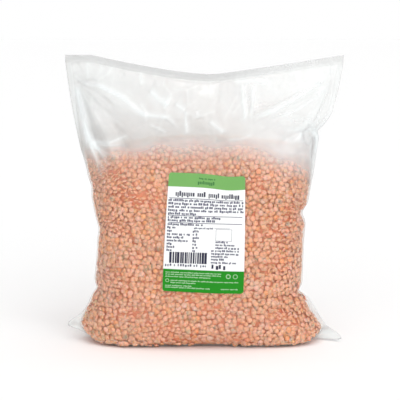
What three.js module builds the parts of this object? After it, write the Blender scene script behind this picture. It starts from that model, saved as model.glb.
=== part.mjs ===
// A clear film bag of red split lentils. It is a lay-flat tube of film, heat-sealed across the top
// and the bottom and two thirds full, and it stands on its flattened base. The film is slack above
// the lentils, pinched along its side creases, and sticks out in two ears at the bottom corners.
// A paper label is stuck to the front.
// Millimetres, +Z up, the front faces -Y. The origin is on the floor, under the middle of the bag.
import * as THREE from "three";

// The film tube
const FLAT_WIDTH = 360; // lying flat, empty
const CORNER_HEIGHT = 380; // the top corners of the standing bag
const TOP_EDGE_HEIGHT = 355; // the middle of the top edge, which sags between the corners
const TOP_EDGE_LOWEST = 6; // its lowest place, as x
const SEAL_BELOW_EDGE = 9; // the heat seal, below the top edge
const FILM_HALF_GAP = 0.9; // half the thickness where the two layers of film lie together
const FILL_HEIGHT = 262; // the film leaves the lentils above this

// Half the bag's depth, by height: [height, half depth]
const HALF_DEPTHS = [
  [0, 42],
  [5, 50],
  [16, 56],
  [45, 59],
  [85, 58.5],
  [140, 55],
  [190, 49],
  [230, 42.5],
  [FILL_HEIGHT, 35],
  [300, 24],
  [330, 11.5],
  [342, 4],
  [TOP_EDGE_HEIGHT - SEAL_BELOW_EDGE, FILM_HALF_GAP],
  [TOP_EDGE_HEIGHT, FILM_HALF_GAP],
];
const BACK_SHARE = 0.96; // the back is a little flatter than the front

// The film's outer edges in the front view: [height, distance from the middle]
const LEFT_EDGE = [
  [0, 146],
  [4, 157],
  [11, 165],
  [22, 168],
  [36, 163],
  [56, 153],
  [78, 147.5],
  [146, 142],
  [195, 149],
  [230, 154.5],
  [262, 163],
  [314, 175],
  [345, 179.5],
  [TOP_EDGE_HEIGHT, FLAT_WIDTH / 2],
];
const RIGHT_EDGE = [
  [0, 135],
  [4, 147],
  [10, 157],
  [18, 162],
  [38, 152],
  [56, 141],
  [72, 131.5],
  [130, 132.5],
  [190, 138],
  [228, 144],
  [268, 150],
  [282, 156],
  [296, 167],
  [325, 176],
  [345, 179.5],
  [TOP_EDGE_HEIGHT, FLAT_WIDTH / 2],
];
// Where the side creases pinch in: [height, depth, half height]
const LEFT_PINCHES = [
  [72, 4, 7],
  [152, 2, 10],
  [208, 2, 8],
];
const RIGHT_PINCHES = [
  [68, 5, 6],
  [174, 6, 9],
  [278, 5, 5],
];

// The flat crease along each side, two layers of film that stand out from the filled body:
// [middle height, width, half height]
const LEAST_CREASE = 1.5;
const LEFT_CREASES = [
  [330, 7, 70],
  [250, 2, 30],
];
const RIGHT_CREASES = [
  [330, 7, 60],
  [245, 6, 38],
  [40, 8, 24],
];
// The bottom corners of the tube, which stand out as ears: [middle height, width, half height]
const LEFT_EAR = [27, 14, 11];
const RIGHT_EAR = [9, 27, 7];
const EAR_CURL = 14; // how far an ear's tip comes forward
const EAR_DROOP = 4; // how far the right one's tip sinks

// The squareness of a level section: 2 is an ellipse, more is boxy. [height, across, deep]
const SQUARENESS = [
  [0, 2.8, 2.3],
  [20, 2.4, 1.8],
  [60, 2.7, 2.2],
  [130, 3.0, 2.5],
  [220, 2.6, 2.2],
  [FILL_HEIGHT, 2.3, 1.8],
  [310, 2.1, 1.4],
  [TOP_EDGE_HEIGHT, 2, 1.2],
];

// Folds of the slack film: from and to are [x, height], width is across the fold, and rise is how
// far it stands out (a ridge) or sinks in (a valley).
const FRONT_FOLDS = [
  { from: [-170, 349], to: [-84, 304], width: 9, rise: 4.5 },
  { from: [-84, 304], to: [-26, 300], width: 8, rise: 3 },
  { from: [-160, 340], to: [-136, 250], width: 8, rise: -4.5 },
  { from: [-150, 318], to: [-112, 240], width: 7, rise: 4 },
  { from: [-128, 312], to: [-98, 258], width: 7, rise: -3 },
  { from: [-22, 338], to: [-20, 300], width: 6, rise: 3 },
  { from: [52, 348], to: [70, 298], width: 12, rise: 4 },
  { from: [76, 302], to: [140, 346], width: 9, rise: 3.5 },
  { from: [96, 262], to: [150, 318], width: 9, rise: -3 },
  { from: [147, 282], to: [136, 232], width: 6, rise: -5 },
  { from: [128, 262], to: [120, 205], width: 7, rise: -2 },
];
const BACK_FOLDS = [
  { from: [170, 349], to: [70, 300], width: 10, rise: 4.5 },
  { from: [150, 335], to: [120, 245], width: 8, rise: -4 },
  { from: [-168, 345], to: [-60, 296], width: 9, rise: 4 },
  { from: [-150, 300], to: [-110, 235], width: 8, rise: -4 },
  { from: [-10, 345], to: [12, 290], width: 10, rise: 3.5 },
  { from: [40, 300], to: [90, 250], width: 8, rise: -2.5 },
];
// Where the lentils press the film out unevenly: half the height of the swells, and their lengths
const SWELL_RISE = 0.9;
const SWELL_LENGTHS = [47, 61, 83];

// How finely the film is divided
const BODY_POINTS = 38;
const CREASE_POINTS = 2;
const BASE_LEVELS = [0, 1.5, 4, 8, 13, 19, 26, 34];
const BODY_STEP = 10;
const FOLD_STEP = 5.5;
const FOLDS_FROM = 230;

// The label
const LABEL_WIDTH = 103;
const LABEL_HEIGHT = 152;
const LABEL_DRAWN_IN = 4; // its upper end follows the film's curve, so it is seen narrower
const LABEL_THICKNESS = 0.6;
const LABEL_CORNER = 4.5;
const LABEL_MIDDLE = [0.5, 154]; // x and height
const LABEL_TURN = THREE.MathUtils.degToRad(-2.3);
const LABEL_GAP = 0.4; // clear of the film
const LABEL_COLUMNS = 16;
const LABEL_ROWS = 22;
const LABEL_CORNER_ROWS = 4;

// Eases from 0 at one value to 1 at another, which may be the lower one
function smoothstep(none, full, value) {
  const share = THREE.MathUtils.clamp((value - none) / (full - none), 0, 1);
  return share * share * (3 - 2 * share);
}
const bump = (value, [middle, rise, half]) =>
  rise * Math.exp(-(((value - middle) / half) ** 2));
const sumOf = (bumps, value) =>
  bumps.reduce((sum, one) => sum + bump(value, one), 0);

// A smooth curve through [at, value, ...] rows that never overshoots them. column picks the value.
function curveThrough(rows, column = 1) {
  const at = rows.map((row) => row[0]);
  const value = rows.map((row) => row[column]);
  const rate = value
    .slice(1)
    .map((v, i) => (v - value[i]) / (at[i + 1] - at[i]));
  const slope = value.map((_, i) => {
    const before = rate[Math.max(i - 1, 0)];
    const after = rate[Math.min(i, rate.length - 1)];
    return before * after <= 0 ? 0 : (2 * before * after) / (before + after);
  });
  return (where) => {
    const w = THREE.MathUtils.clamp(where, at[0], at.at(-1));
    const next = Math.max(
      1,
      at.findIndex((a) => a >= w),
    );
    const i = next - 1;
    const span = at[next] - at[i];
    const t = (w - at[i]) / span;
    return (
      value[i] * (1 + 2 * t) * (1 - t) ** 2 +
      slope[i] * span * t * (1 - t) ** 2 +
      value[next] * t * t * (3 - 2 * t) +
      slope[next] * span * t * t * (t - 1)
    );
  };
}

const halfDepth = curveThrough(HALF_DEPTHS);
const leftCurve = curveThrough(LEFT_EDGE);
const rightCurve = curveThrough(RIGHT_EDGE);
const squareAcross = curveThrough(SQUARENESS, 1);
const squareDeep = curveThrough(SQUARENESS, 2);

// The filled body's sides and the film's outer edges at a level, as x
function sidesAt(level) {
  const clearOfFloor = smoothstep(0, 4, level);
  const leftOuter = leftCurve(level) - sumOf(LEFT_PINCHES, level);
  const rightOuter = rightCurve(level) - sumOf(RIGHT_PINCHES, level);
  const leftCrease = LEAST_CREASE + clearOfFloor * sumOf(LEFT_CREASES, level);
  const rightCrease = LEAST_CREASE + clearOfFloor * sumOf(RIGHT_CREASES, level);
  return {
    left: -(leftOuter - leftCrease),
    right: rightOuter - rightCrease,
    leftOuter: -(leftOuter + clearOfFloor * bump(level, LEFT_EAR)),
    rightOuter: rightOuter + clearOfFloor * bump(level, RIGHT_EAR),
  };
}

// The body's depth at a place across a level, from the plane between the two layers of film
function bodyDepth(across, level, side) {
  const share = side < 0 ? 1 : BACK_SHARE;
  const deepest = Math.max(halfDepth(level) * share, FILM_HALF_GAP);
  const rest = Math.max(0, 1 - Math.abs(across) ** squareAcross(level));
  return (
    FILM_HALF_GAP +
    (deepest - FILM_HALF_GAP) * rest ** (1 / squareDeep(level))
  );
}

// One fold's height at a place on the film
function foldAt({ from, to, width, rise }, x, height) {
  const [dx, dz] = [to[0] - from[0], to[1] - from[1]];
  const length = Math.hypot(dx, dz);
  const along = ((x - from[0]) * dx + (height - from[1]) * dz) / length ** 2;
  const aside = ((x - from[0]) * dz - (height - from[1]) * dx) / length;
  const ends = smoothstep(-0.12, 0.15, along) * smoothstep(1.12, 0.85, along);
  return rise * ends * Math.exp(-(Math.abs(aside / width) ** 1.5));
}

// How far folds and the press of the lentils move the film out of its plain form
function reliefAt(x, height, side) {
  const folds = side < 0 ? FRONT_FOLDS : BACK_FOLDS;
  const folded = folds.reduce((sum, fold) => sum + foldAt(fold, x, height), 0);
  const [first, second, third] = SWELL_LENGTHS;
  const turn = side * 1.7;
  const swell =
    Math.sin(x / (first / Math.PI) + turn) *
      Math.sin(height / (second / Math.PI) + 1) +
    Math.sin((x + height) / (third / Math.PI) + 2 * turn);
  return folded + SWELL_RISE * swell * smoothstep(8, 45, height);
}

// The depth of the film with its relief, which fades out at the creases, the seal and the floor
function filmDepth(across, x, level, height, side) {
  const depth = bodyDepth(across, level, side);
  const room = smoothstep(0, 14, depth - FILM_HALF_GAP);
  return depth + reliefAt(x, height, side) * room * smoothstep(4, 30, level);
}

// The top edge rises to the corners. On the left it levels off before the corner, and on the right
// it starts gently.
function riseAt(x) {
  const out = Math.abs(x - TOP_EDGE_LOWEST) / (FLAT_WIDTH / 2);
  const leftShare = Math.min(1, out / 0.84) ** 1.4;
  const rightShare = Math.min(1, (Math.hypot(out, 0.1) - 0.1) / 0.88);
  const share = x < TOP_EDGE_LOWEST ? leftShare : rightShare;
  return (CORNER_HEIGHT - TOP_EDGE_HEIGHT) * share;
}

// The plane between the two layers, which waves towards the top edge and curls at the ears
function midPlane(x, level, sides) {
  const out = x / (FLAT_WIDTH / 2);
  const towardsTop = smoothstep(FILL_HEIGHT, TOP_EDGE_HEIGHT, level);
  const wave = 5 * Math.sin(3.6 * out + 0.6) + 2 * Math.sin(9 * out);
  const beyond = Math.max(0, sides.left - x, x - sides.right);
  const curl = EAR_CURL * Math.min(1, beyond / RIGHT_EAR[1]) ** 2;
  return wave * towardsTop - curl * smoothstep(60, 30, level);
}

// How far the right ear sinks towards its tip
function droopAt(x, level, sides) {
  const beyond = Math.max(0, x - sides.right) / RIGHT_EAR[1];
  return EAR_DROOP * Math.min(1, beyond) ** 2 * smoothstep(30, 14, level);
}

// Picks count points, evenly spaced along a line of points
function evenlyAlong(points, count) {
  const reach = [0];
  points
    .slice(1)
    .forEach((p, i) => reach.push(reach[i] + p.distanceTo(points[i])));
  return Array.from({ length: count }, (_, k) => {
    const wanted = (reach.at(-1) * k) / (count - 1);
    const next = Math.max(
      1,
      reach.findIndex((r) => r >= wanted - 1e-9),
    );
    const share = (wanted - reach[next - 1]) / (reach[next] - reach[next - 1]);
    return points[next - 1].clone().lerp(points[next], share);
  });
}

// Half a level ring, front (side -1) or back (side 1), from the left edge to the right one
function halfRing(level, side) {
  const sides = sidesAt(level);
  const middle = (sides.left + sides.right) / 2;
  const reach = (sides.right - sides.left) / 2;
  const fine = 240;
  const profile = Array.from({ length: fine + 1 }, (_, i) => {
    const angle = (i / fine - 0.5) * Math.PI;
    const across =
      Math.sign(angle) *
      Math.abs(Math.sin(angle)) ** (2 / squareAcross(level));
    return new THREE.Vector2(
      middle + reach * across,
      bodyDepth(across, level, side),
    );
  });
  const body = evenlyAlong(profile, BODY_POINTS);
  const crease = (outer, inner) =>
    Array.from(
      { length: CREASE_POINTS },
      (_, i) =>
        new THREE.Vector2(
          outer + ((inner - outer) * i) / CREASE_POINTS,
          FILM_HALF_GAP,
        ),
    );
  const whole = [
    ...crease(sides.leftOuter, sides.left),
    ...body,
    ...crease(sides.rightOuter, sides.right).reverse(),
  ];
  const towardsTop = smoothstep(FILL_HEIGHT - 10, 345, level);
  return whole.map(({ x, y }) => {
    const height =
      level + towardsTop * riseAt(x) - droopAt(x, level, sides);
    const across = THREE.MathUtils.clamp((x - middle) / reach, -1, 1);
    const depth =
      y > FILM_HALF_GAP ? filmDepth(across, x, level, height, side) : y;
    return new THREE.Vector3(
      x,
      midPlane(x, level, sides) + side * depth,
      height,
    );
  });
}

// A closed mesh from stacked rings. Each ring is a front half and a back half, both left to right.
function closedLoft(rings) {
  const half = rings[0].front.length;
  const round = 2 * half;
  const points = rings.flatMap(({ front, back }) => [
    ...front,
    ...[...back].reverse(),
  ]);
  const faces = [];
  const quad = (a, b, c, d) => faces.push(a, b, c, a, c, d);
  for (let level = 0; level < rings.length - 1; level++) {
    const [lower, upper] = [level * round, (level + 1) * round];
    for (let i = 0; i < round; i++) {
      const next = (i + 1) % round;
      quad(lower + i, lower + next, upper + next, upper + i);
    }
  }
  const top = (rings.length - 1) * round;
  for (let i = 0; i < half - 1; i++) {
    const opposite = round - 1 - i;
    quad(i, opposite, opposite - 1, i + 1);
    quad(top + i, top + i + 1, top + opposite - 1, top + opposite);
  }
  return new THREE.BufferGeometry().setFromPoints(points).setIndex(faces);
}

function bagGeometry() {
  const levels = [...BASE_LEVELS];
  while (levels.at(-1) + BODY_STEP < FOLDS_FROM)
    levels.push(levels.at(-1) + BODY_STEP);
  const seal = TOP_EDGE_HEIGHT - SEAL_BELOW_EDGE;
  while (levels.at(-1) + FOLD_STEP < seal)
    levels.push(levels.at(-1) + FOLD_STEP);
  levels.push(seal, (seal + TOP_EDGE_HEIGHT) / 2, TOP_EDGE_HEIGHT);
  return closedLoft(
    levels.map((level) => ({
      front: halfRing(level, -1),
      back: halfRing(level, 1),
    })),
  );
}

// The front of the film at a place where its rings are level
function frontAt(x, height) {
  const sides = sidesAt(height);
  const middle = (sides.left + sides.right) / 2;
  const across = (x - middle) / ((sides.right - sides.left) / 2);
  return (
    midPlane(x, height, sides) - filmDepth(across, x, height, height, -1)
  );
}

// The label is a rounded rectangle of paper that follows the front of the film
function labelGeometry() {
  const halfHeight = LABEL_HEIGHT / 2;
  const straight = halfHeight - LABEL_CORNER;
  const rows = [];
  for (let i = 0; i <= LABEL_CORNER_ROWS; i++) {
    const angle = (i / LABEL_CORNER_ROWS - 1) * (Math.PI / 2);
    rows.push([
      -straight + LABEL_CORNER * Math.sin(angle),
      LABEL_WIDTH / 2 - LABEL_CORNER * (1 - Math.cos(angle)),
    ]);
  }
  for (let i = 1; i < LABEL_ROWS; i++)
    rows.push([-straight + (2 * straight * i) / LABEL_ROWS, LABEL_WIDTH / 2]);
  for (let i = LABEL_CORNER_ROWS; i >= 0; i--)
    rows.push([-rows[i][0], rows[i][1]]);
  const [cos, sin] = [Math.cos(LABEL_TURN), Math.sin(LABEL_TURN)];
  const sheet = (lift) =>
    rows.map(([up, halfWidth]) =>
      Array.from({ length: LABEL_COLUMNS + 1 }, (_, i) => {
        const drawnIn = (LABEL_DRAWN_IN * (up / LABEL_HEIGHT + 0.5)) / 2;
        const along = (halfWidth - drawnIn) * ((2 * i) / LABEL_COLUMNS - 1);
        const x = LABEL_MIDDLE[0] + along * cos - up * sin;
        const height = LABEL_MIDDLE[1] + along * sin + up * cos;
        return new THREE.Vector3(x, frontAt(x, height) - lift, height);
      }),
    );
  const outer = sheet(LABEL_GAP + LABEL_THICKNESS);
  const inner = sheet(LABEL_GAP);
  return closedLoft(outer.map((front, i) => ({ front, back: inner[i] })));
}

function namedMesh(name, geometry, material) {
  const mesh = new THREE.Mesh(geometry, material);
  mesh.name = name;
  return mesh;
}

const filledFilm = new THREE.MeshStandardMaterial({
  color: 0xdb9f80,
  roughness: 0.35,
  metalness: 0,
});
const labelPaper = new THREE.MeshStandardMaterial({
  color: 0xf4f4f2,
  roughness: 0.55,
  metalness: 0,
});

const bagOfLentils = new THREE.Group();
bagOfLentils.add(namedMesh("bag", bagGeometry(), filledFilm));
bagOfLentils.add(namedMesh("label", labelGeometry(), labelPaper));

// The middle of the whole is put over the origin
const extent = new THREE.Box3().setFromObject(bagOfLentils);
const centre = extent.getCenter(new THREE.Vector3());
bagOfLentils.position.set(-centre.x, -centre.y, -extent.min.z);

export default bagOfLentils;
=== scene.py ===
import bpy
import numpy as np
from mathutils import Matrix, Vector


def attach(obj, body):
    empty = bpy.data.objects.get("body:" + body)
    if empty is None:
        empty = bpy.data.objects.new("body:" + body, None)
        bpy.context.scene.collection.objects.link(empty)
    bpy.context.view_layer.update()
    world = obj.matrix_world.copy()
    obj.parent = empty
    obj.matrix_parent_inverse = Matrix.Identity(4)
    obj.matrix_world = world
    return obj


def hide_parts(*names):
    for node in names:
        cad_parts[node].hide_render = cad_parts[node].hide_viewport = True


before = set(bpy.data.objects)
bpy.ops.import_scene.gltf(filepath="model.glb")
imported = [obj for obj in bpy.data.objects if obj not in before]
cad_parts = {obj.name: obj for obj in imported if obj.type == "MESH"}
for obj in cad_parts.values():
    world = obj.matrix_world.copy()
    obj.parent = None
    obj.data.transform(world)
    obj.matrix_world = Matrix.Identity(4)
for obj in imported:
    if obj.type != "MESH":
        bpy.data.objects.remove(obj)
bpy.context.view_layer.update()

# The film's form
# A lay-flat tube of clear polythene film, filled from its open top and then heat-sealed straight
# across. The lentils press the lower part out and flatten it where it stands. The empty upper part
# hangs slack between its two stiff top corners. Sizes are in millimetres until a mesh is made.
FLAT_WIDTH = 360
TOP_CORNER_HEIGHT = 380
TOP_EDGE_HEIGHT = 355
TOP_EDGE_LOWEST = 6
SEAL_BELOW_EDGE = 9
SLACK_FROM = 262
# From where these forms are worked out to the frame's own origin
FRAME_SHIFT = (0.11, 1.66, 0.01)
FRONT, BACK = -1, 1
BACK_SHARE = 0.96
LAYER_GAP = 0.4

# Half the bag's depth: height, half depth
HALF_DEPTHS = [
    (0, 43), (5, 51), (16, 56.5), (45, 59), (85, 58.5), (140, 55), (190, 49), (230, 42.5),
    (SLACK_FROM, 35), (300, 24), (330, 11.5), (342, 4),
    (TOP_EDGE_HEIGHT - SEAL_BELOW_EDGE, LAYER_GAP), (TOP_EDGE_HEIGHT, LAYER_GAP),
]
# The film's outer edges in the front view: height, distance from the middle
LEFT_EDGE = [
    (0, 134), (4, 149), (11, 160), (22, 166), (36, 162.5), (56, 153), (78, 147.5), (146, 142),
    (195, 149), (230, 154.5), (262, 163), (314, 175), (345, 179.5),
    (TOP_EDGE_HEIGHT, FLAT_WIDTH / 2),
]
RIGHT_EDGE = [
    (0, 135), (4, 147), (10, 157), (18, 162), (38, 152), (56, 141), (72, 131.5), (130, 132.5),
    (190, 138), (228, 144), (268, 150), (282, 156), (296, 167), (325, 176), (345, 179.5),
    (TOP_EDGE_HEIGHT, FLAT_WIDTH / 2),
]
# Pinches, side creases and ears: middle height, reach, half height
LEFT_PINCHES = [(72, 4, 7), (152, 2, 10), (208, 2, 8)]
RIGHT_PINCHES = [(68, 5, 6), (174, 6, 9), (278, 5, 5)]
LEAST_CREASE = 1
LEFT_CREASES = [(335, 7, 55), (250, 1, 30)]
RIGHT_CREASES = [(330, 7, 60), (252, 4, 30), (38, 6, 22)]
LEFT_EAR = (23, 17, 10)
RIGHT_EAR = (9, 27, 7)
EAR_CURL = 14
EAR_DROOP = 4
# How boxy a level section is: height, across, deep
SQUARENESS = [
    (0, 4.2, 3.1), (20, 2.7, 2.1), (60, 2.7, 2.2), (130, 3.0, 2.5), (220, 2.6, 2.2),
    (SLACK_FROM, 2.3, 1.8), (310, 2.1, 1.4), (TOP_EDGE_HEIGHT, 2, 1.2),
]
# The base's front edge is drawn back in the middle: how far, half width, fading out above
BASE_DRAWN_BACK = (10, 85, 30)
# How the top edge climbs: how far out each side is up, how the left bends, how the right starts
LEFT_CORNER_AT = 0.84
LEFT_CLIMB_BEND = 1.4
RIGHT_CORNER_AT = 0.88
RIGHT_GENTLE_START = 0.1
TOP_EDGE_CLIMBS = (SLACK_FROM - 10, 345)
# The lentils' swells: how far, how long, how front and back differ, and the heights they start at
SWELL_RISE = 0.9
SWELL_LENGTHS = (47, 61, 83)
SWELL_TURN = 1.7
SWELL_HEIGHTS = (8, 45)
CLEAR_OF_FLOOR = 4


def ease(none, full, value):
    """0 up to the first value, 1 from the second, and a soft step between."""
    share = np.clip((value - none) / (full - none), 0, 1)
    return share * share * (3 - 2 * share)


def curve_through(rows, column=1):
    """A smooth curve through rows of (at, value, ...) that never overshoots them."""
    at = np.array([row[0] for row in rows], float)
    value = np.array([row[column] for row in rows], float)
    rate = np.diff(value) / np.diff(at)
    before, after = np.append(rate[0], rate), np.append(rate, rate[-1])
    together = before * after > 0
    slope = np.where(together, 2 * before * after / np.where(together, before + after, 1), 0)

    def curve(where):
        w = np.clip(where, at[0], at[-1])
        i = np.clip(np.searchsorted(at, w) - 1, 0, len(at) - 2)
        span = at[i + 1] - at[i]
        t = (w - at[i]) / span
        rising = value[i] * (1 + 2 * t) * (1 - t) ** 2 + slope[i] * span * t * (1 - t) ** 2
        return rising + value[i + 1] * t * t * (3 - 2 * t) + slope[i + 1] * span * t * t * (t - 1)

    return curve


half_depth = curve_through(HALF_DEPTHS)
left_curve = curve_through(LEFT_EDGE)
right_curve = curve_through(RIGHT_EDGE)
square_across = curve_through(SQUARENESS, 1)
square_deep = curve_through(SQUARENESS, 2)


def bumps(value, rows):
    """The sum of soft bumps, from rows of (middle, how far, half width)."""
    return sum(reach * np.exp(-(((value - middle) / half) ** 2)) for middle, reach, half in rows)


def sides_at(level):
    """The filled body's left and right side, and the film's outer left and right edge."""
    clear_of_floor = ease(0, CLEAR_OF_FLOOR, level)
    left = left_curve(level) - bumps(level, LEFT_PINCHES)
    right = right_curve(level) - bumps(level, RIGHT_PINCHES)
    left_crease = LEAST_CREASE + clear_of_floor * bumps(level, LEFT_CREASES)
    right_crease = LEAST_CREASE + clear_of_floor * bumps(level, RIGHT_CREASES)
    left_outer = -(left + clear_of_floor * bumps(level, [LEFT_EAR]))
    right_outer = right + clear_of_floor * bumps(level, [RIGHT_EAR])
    return left_crease - left, right - right_crease, left_outer, right_outer


def body_depth(across, level, side):
    """How far the filled body stands out at a level, where across is -1 to 1 from side to side."""
    deepest = np.maximum(half_depth(level) * (1 if side == FRONT else BACK_SHARE), LAYER_GAP)
    rest = np.maximum(0, 1 - np.abs(across) ** square_across(level))
    return LAYER_GAP + (deepest - LAYER_GAP) * rest ** (1 / square_deep(level))


def top_edge_rise(x):
    """The top edge climbs to the corners: early on the left, gently at first on the right."""
    out = np.abs(x - TOP_EDGE_LOWEST) / (FLAT_WIDTH / 2)
    left_share = np.minimum(1, out / LEFT_CORNER_AT) ** LEFT_CLIMB_BEND
    right_out = np.hypot(out, RIGHT_GENTLE_START) - RIGHT_GENTLE_START
    right_share = np.minimum(1, right_out / RIGHT_CORNER_AT)
    share = np.where(x < TOP_EDGE_LOWEST, left_share, right_share)
    return (TOP_CORNER_HEIGHT - TOP_EDGE_HEIGHT) * share


def swells(x, height, side):
    """The lentils press the film out a little unevenly."""
    first, second, third = SWELL_LENGTHS
    turn = side * SWELL_TURN
    slow = np.sin(x / (first / np.pi) + turn) * np.sin(height / (second / np.pi) + 1)
    slant = np.sin((x + height) / (third / np.pi) + 2 * turn)
    return SWELL_RISE * (slow + slant) * ease(*SWELL_HEIGHTS, height)


# The film's folds
# Slack film can't stretch, so it creases: broad folds hang from the seal and the top corners, and
# run into each pinched place at the sides. Sharp creases and fine crumples lie between them.
# A fold is its start and end (x, height), its width and how far it stands out.
FRONT_FOLDS = [
    ((-170, 349), (-84, 304), 9, 4.5), ((-84, 304), (-26, 300), 8, 3),
    ((-160, 340), (-136, 250), 8, -4.5), ((-150, 318), (-112, 240), 7, 4),
    ((-128, 312), (-98, 258), 7, -3), ((-22, 338), (-20, 300), 6, 3),
    ((52, 348), (70, 298), 12, 4), ((76, 302), (140, 346), 9, 3.5),
    ((96, 262), (150, 318), 9, -3), ((147, 282), (136, 232), 6, -5),
    ((128, 262), (120, 205), 7, -2),
]
BACK_FOLDS = [
    ((170, 349), (70, 300), 10, 4.5), ((150, 335), (120, 245), 8, -4),
    ((-168, 345), (-60, 296), 9, 4), ((-150, 300), (-110, 235), 8, -4),
    ((-10, 345), (12, 290), 10, 3.5), ((40, 300), (90, 250), 8, -2.5),
]
# A crease is its bends (x, height), its width and how far it stands out.
FRONT_CREASES = [
    ([(-153, 349), (-105, 325), (-78, 304), (-48, 301), (-27, 283)], 3, 1.8),
    ([(-170, 340), (-154, 347), (-136, 345)], 3.5, -2),
    ([(-165, 338), (-160, 322), (-155, 296), (-135, 261)], 3.5, -2.1),
    ([(-142, 300), (-121, 256)], 3.5, -1.8),
    ([(-168, 345), (-158, 300), (-146, 258)], 4.5, 2),
    ([(-72, 337), (-57, 322), (-42, 316)], 5, 1.8),
    ([(-38, 319), (-24, 309)], 4, 1.5),
    ([(-23, 312), (-24, 297), (-22, 278)], 2.2, 1.7),
    ([(49, 346), (50, 318), (53, 294)], 2.4, 1.7),
    ([(57, 345), (57, 300)], 2, -1.2),
    ([(64, 344), (62, 320), (59, 296)], 2.4, 1.5),
    ([(34, 345), (62, 347), (88, 344)], 4, 1.6),
    ([(5, 297), (16, 288), (27, 281)], 3, 1.6),
    ([(-10, 310), (-8, 299)], 2.6, 1.3),
    ([(62, 296), (112, 320), (166, 354)], 2.8, 2),
    ([(78, 294), (122, 312), (156, 336)], 2.4, -1.4),
    ([(92, 298), (130, 314), (160, 340)], 2.2, 1.2),
    ([(165, 356), (162, 334), (152, 313), (138, 284)], 1.8, -2.2),
    ([(141, 292), (128, 281), (131, 266), (138, 258)], 2.2, -2.6),
    ([(136, 284), (142, 268), (140, 240), (137, 200)], 2, -3),
    ([(137, 288), (146, 272), (146, 250)], 2.4, 1.8),
    ([(103, 51), (84, 39), (62, 21)], 2, 0.8),
    ([(146, 8), (158, 14), (172, 17)], 1.6, -2.6),
    ([(143, 34), (152, 22), (168, 12)], 1.6, -2.2),
    ([(-160, 14), (-170, 22), (-184, 24)], 1.6, -2.2),
    ([(-128, 100), (-120, 74), (-132, 50)], 2, 0.5),
]
BACK_CREASES = [
    ([(160, 350), (112, 322), (66, 300), (30, 290)], 3, 1.8),
    ([(-166, 346), (-152, 310), (-140, 262)], 4, -2.2),
    ([(-60, 345), (-54, 310), (-48, 286)], 2.6, 1.6),
    ([(20, 344), (16, 312), (22, 288)], 2.4, 1.5),
]
# Fans of fine creases: centre, first and last direction in degrees, count, longest, tallest
CREASE_FANS = [
    ((-166, 346), -82, -22, 11, 130, 1.4),
    ((164, 346), -158, -98, 10, 120, 1.3),
    ((150, 283), 150, 235, 9, 62, 1.4),
    ((-150, 268), -70, 30, 7, 60, 1.1),
    ((142, 176), 160, 215, 6, 40, 0.6),
    ((-150, 74), -30, 40, 6, 42, 0.6),
    ((140, 70), 150, 215, 6, 42, 0.6),
]
SEAL_PLEATS = 24
CRUMPLES = 80
# How far a fine crease is bent aside half way, as a share of its length
CREASE_BEND = 0.08
# A fan's creases: how many degrees they stray, shares of its longest and tallest, and widths
FAN_STRAY = 3
FAN_REACHES = (0.45, 1)
FAN_RISES = (0.4, 1)
FAN_WIDTHS = (1.6, 3)
# Pleats: half their row's length, how far they stray along it, how far above the seal's lower edge
# they start, and how they lean
PLEAT_ROW = 164
PLEAT_STRAY = 3
PLEAT_START = 2
PLEAT_LEAN = 0.15
# How wide and long pleats and crumples are and how far they rise; where crumples start (x, height)
PLEAT_WIDTHS = (1.6, 2.8)
PLEAT_REACHES = (12, 46)
PLEAT_RISE = 0.55
CRUMPLE_WIDTHS = (1.5, 3.2)
CRUMPLE_REACHES = (14, 48)
CRUMPLE_RISE = 0.45
CRUMPLE_AREA = (-150, 150), (266, 350)


def bent(start, direction, reach, draw):
    """A crease's bends, for a line that turns a little half way."""
    along = np.array((np.cos(direction), np.sin(direction)))
    aside = np.array((-along[1], along[0])) * draw.normal(0, CREASE_BEND) * reach
    return [start, start + along * reach * 0.5 + aside, start + along * reach]


def fine_creases(seed):
    """The fans, the pleats below the seal and the crumples of one side."""
    draw = np.random.default_rng(seed)
    creases = []
    for centre, first, last, count, longest, tallest in CREASE_FANS:
        directions = np.linspace(first, last, count) + draw.normal(0, FAN_STRAY, count)
        for direction in np.radians(directions):
            path = bent(np.array(centre), direction, longest * draw.uniform(*FAN_REACHES), draw)
            rise = tallest * draw.uniform(*FAN_RISES) * draw.choice((-1, 1))
            creases.append((path, draw.uniform(*FAN_WIDTHS), rise))
    row = np.linspace(-PLEAT_ROW, PLEAT_ROW, SEAL_PLEATS)
    for x in row + draw.normal(0, PLEAT_STRAY, SEAL_PLEATS):
        start = np.array((x, TOP_EDGE_HEIGHT - SEAL_BELOW_EDGE + top_edge_rise(x) + PLEAT_START))
        direction = -np.pi / 2 + draw.normal(0, PLEAT_LEAN)
        path = bent(start, direction, draw.uniform(*PLEAT_REACHES), draw)
        creases.append((path, draw.uniform(*PLEAT_WIDTHS), draw.normal(0, PLEAT_RISE)))
    for _ in range(CRUMPLES):
        start = np.array([draw.uniform(*reach) for reach in CRUMPLE_AREA])
        path = bent(start, draw.uniform(0, np.pi), draw.uniform(*CRUMPLE_REACHES), draw)
        creases.append((path, draw.uniform(*CRUMPLE_WIDTHS), draw.normal(0, CRUMPLE_RISE)))
    return creases


# Where along its length a fold or crease begins and is full, and where it ends and is last full
FOLD_BEGINS = (-0.12, 0.15)
FOLD_ENDS = (1.12, 0.85)
FOLD_ROUNDNESS = 1.5
CREASE_BEGINS = (0, 0.2)
CREASE_ENDS = (1, 0.8)
# How many widths away a crease is no longer felt
CREASE_FAR = 5


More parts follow.
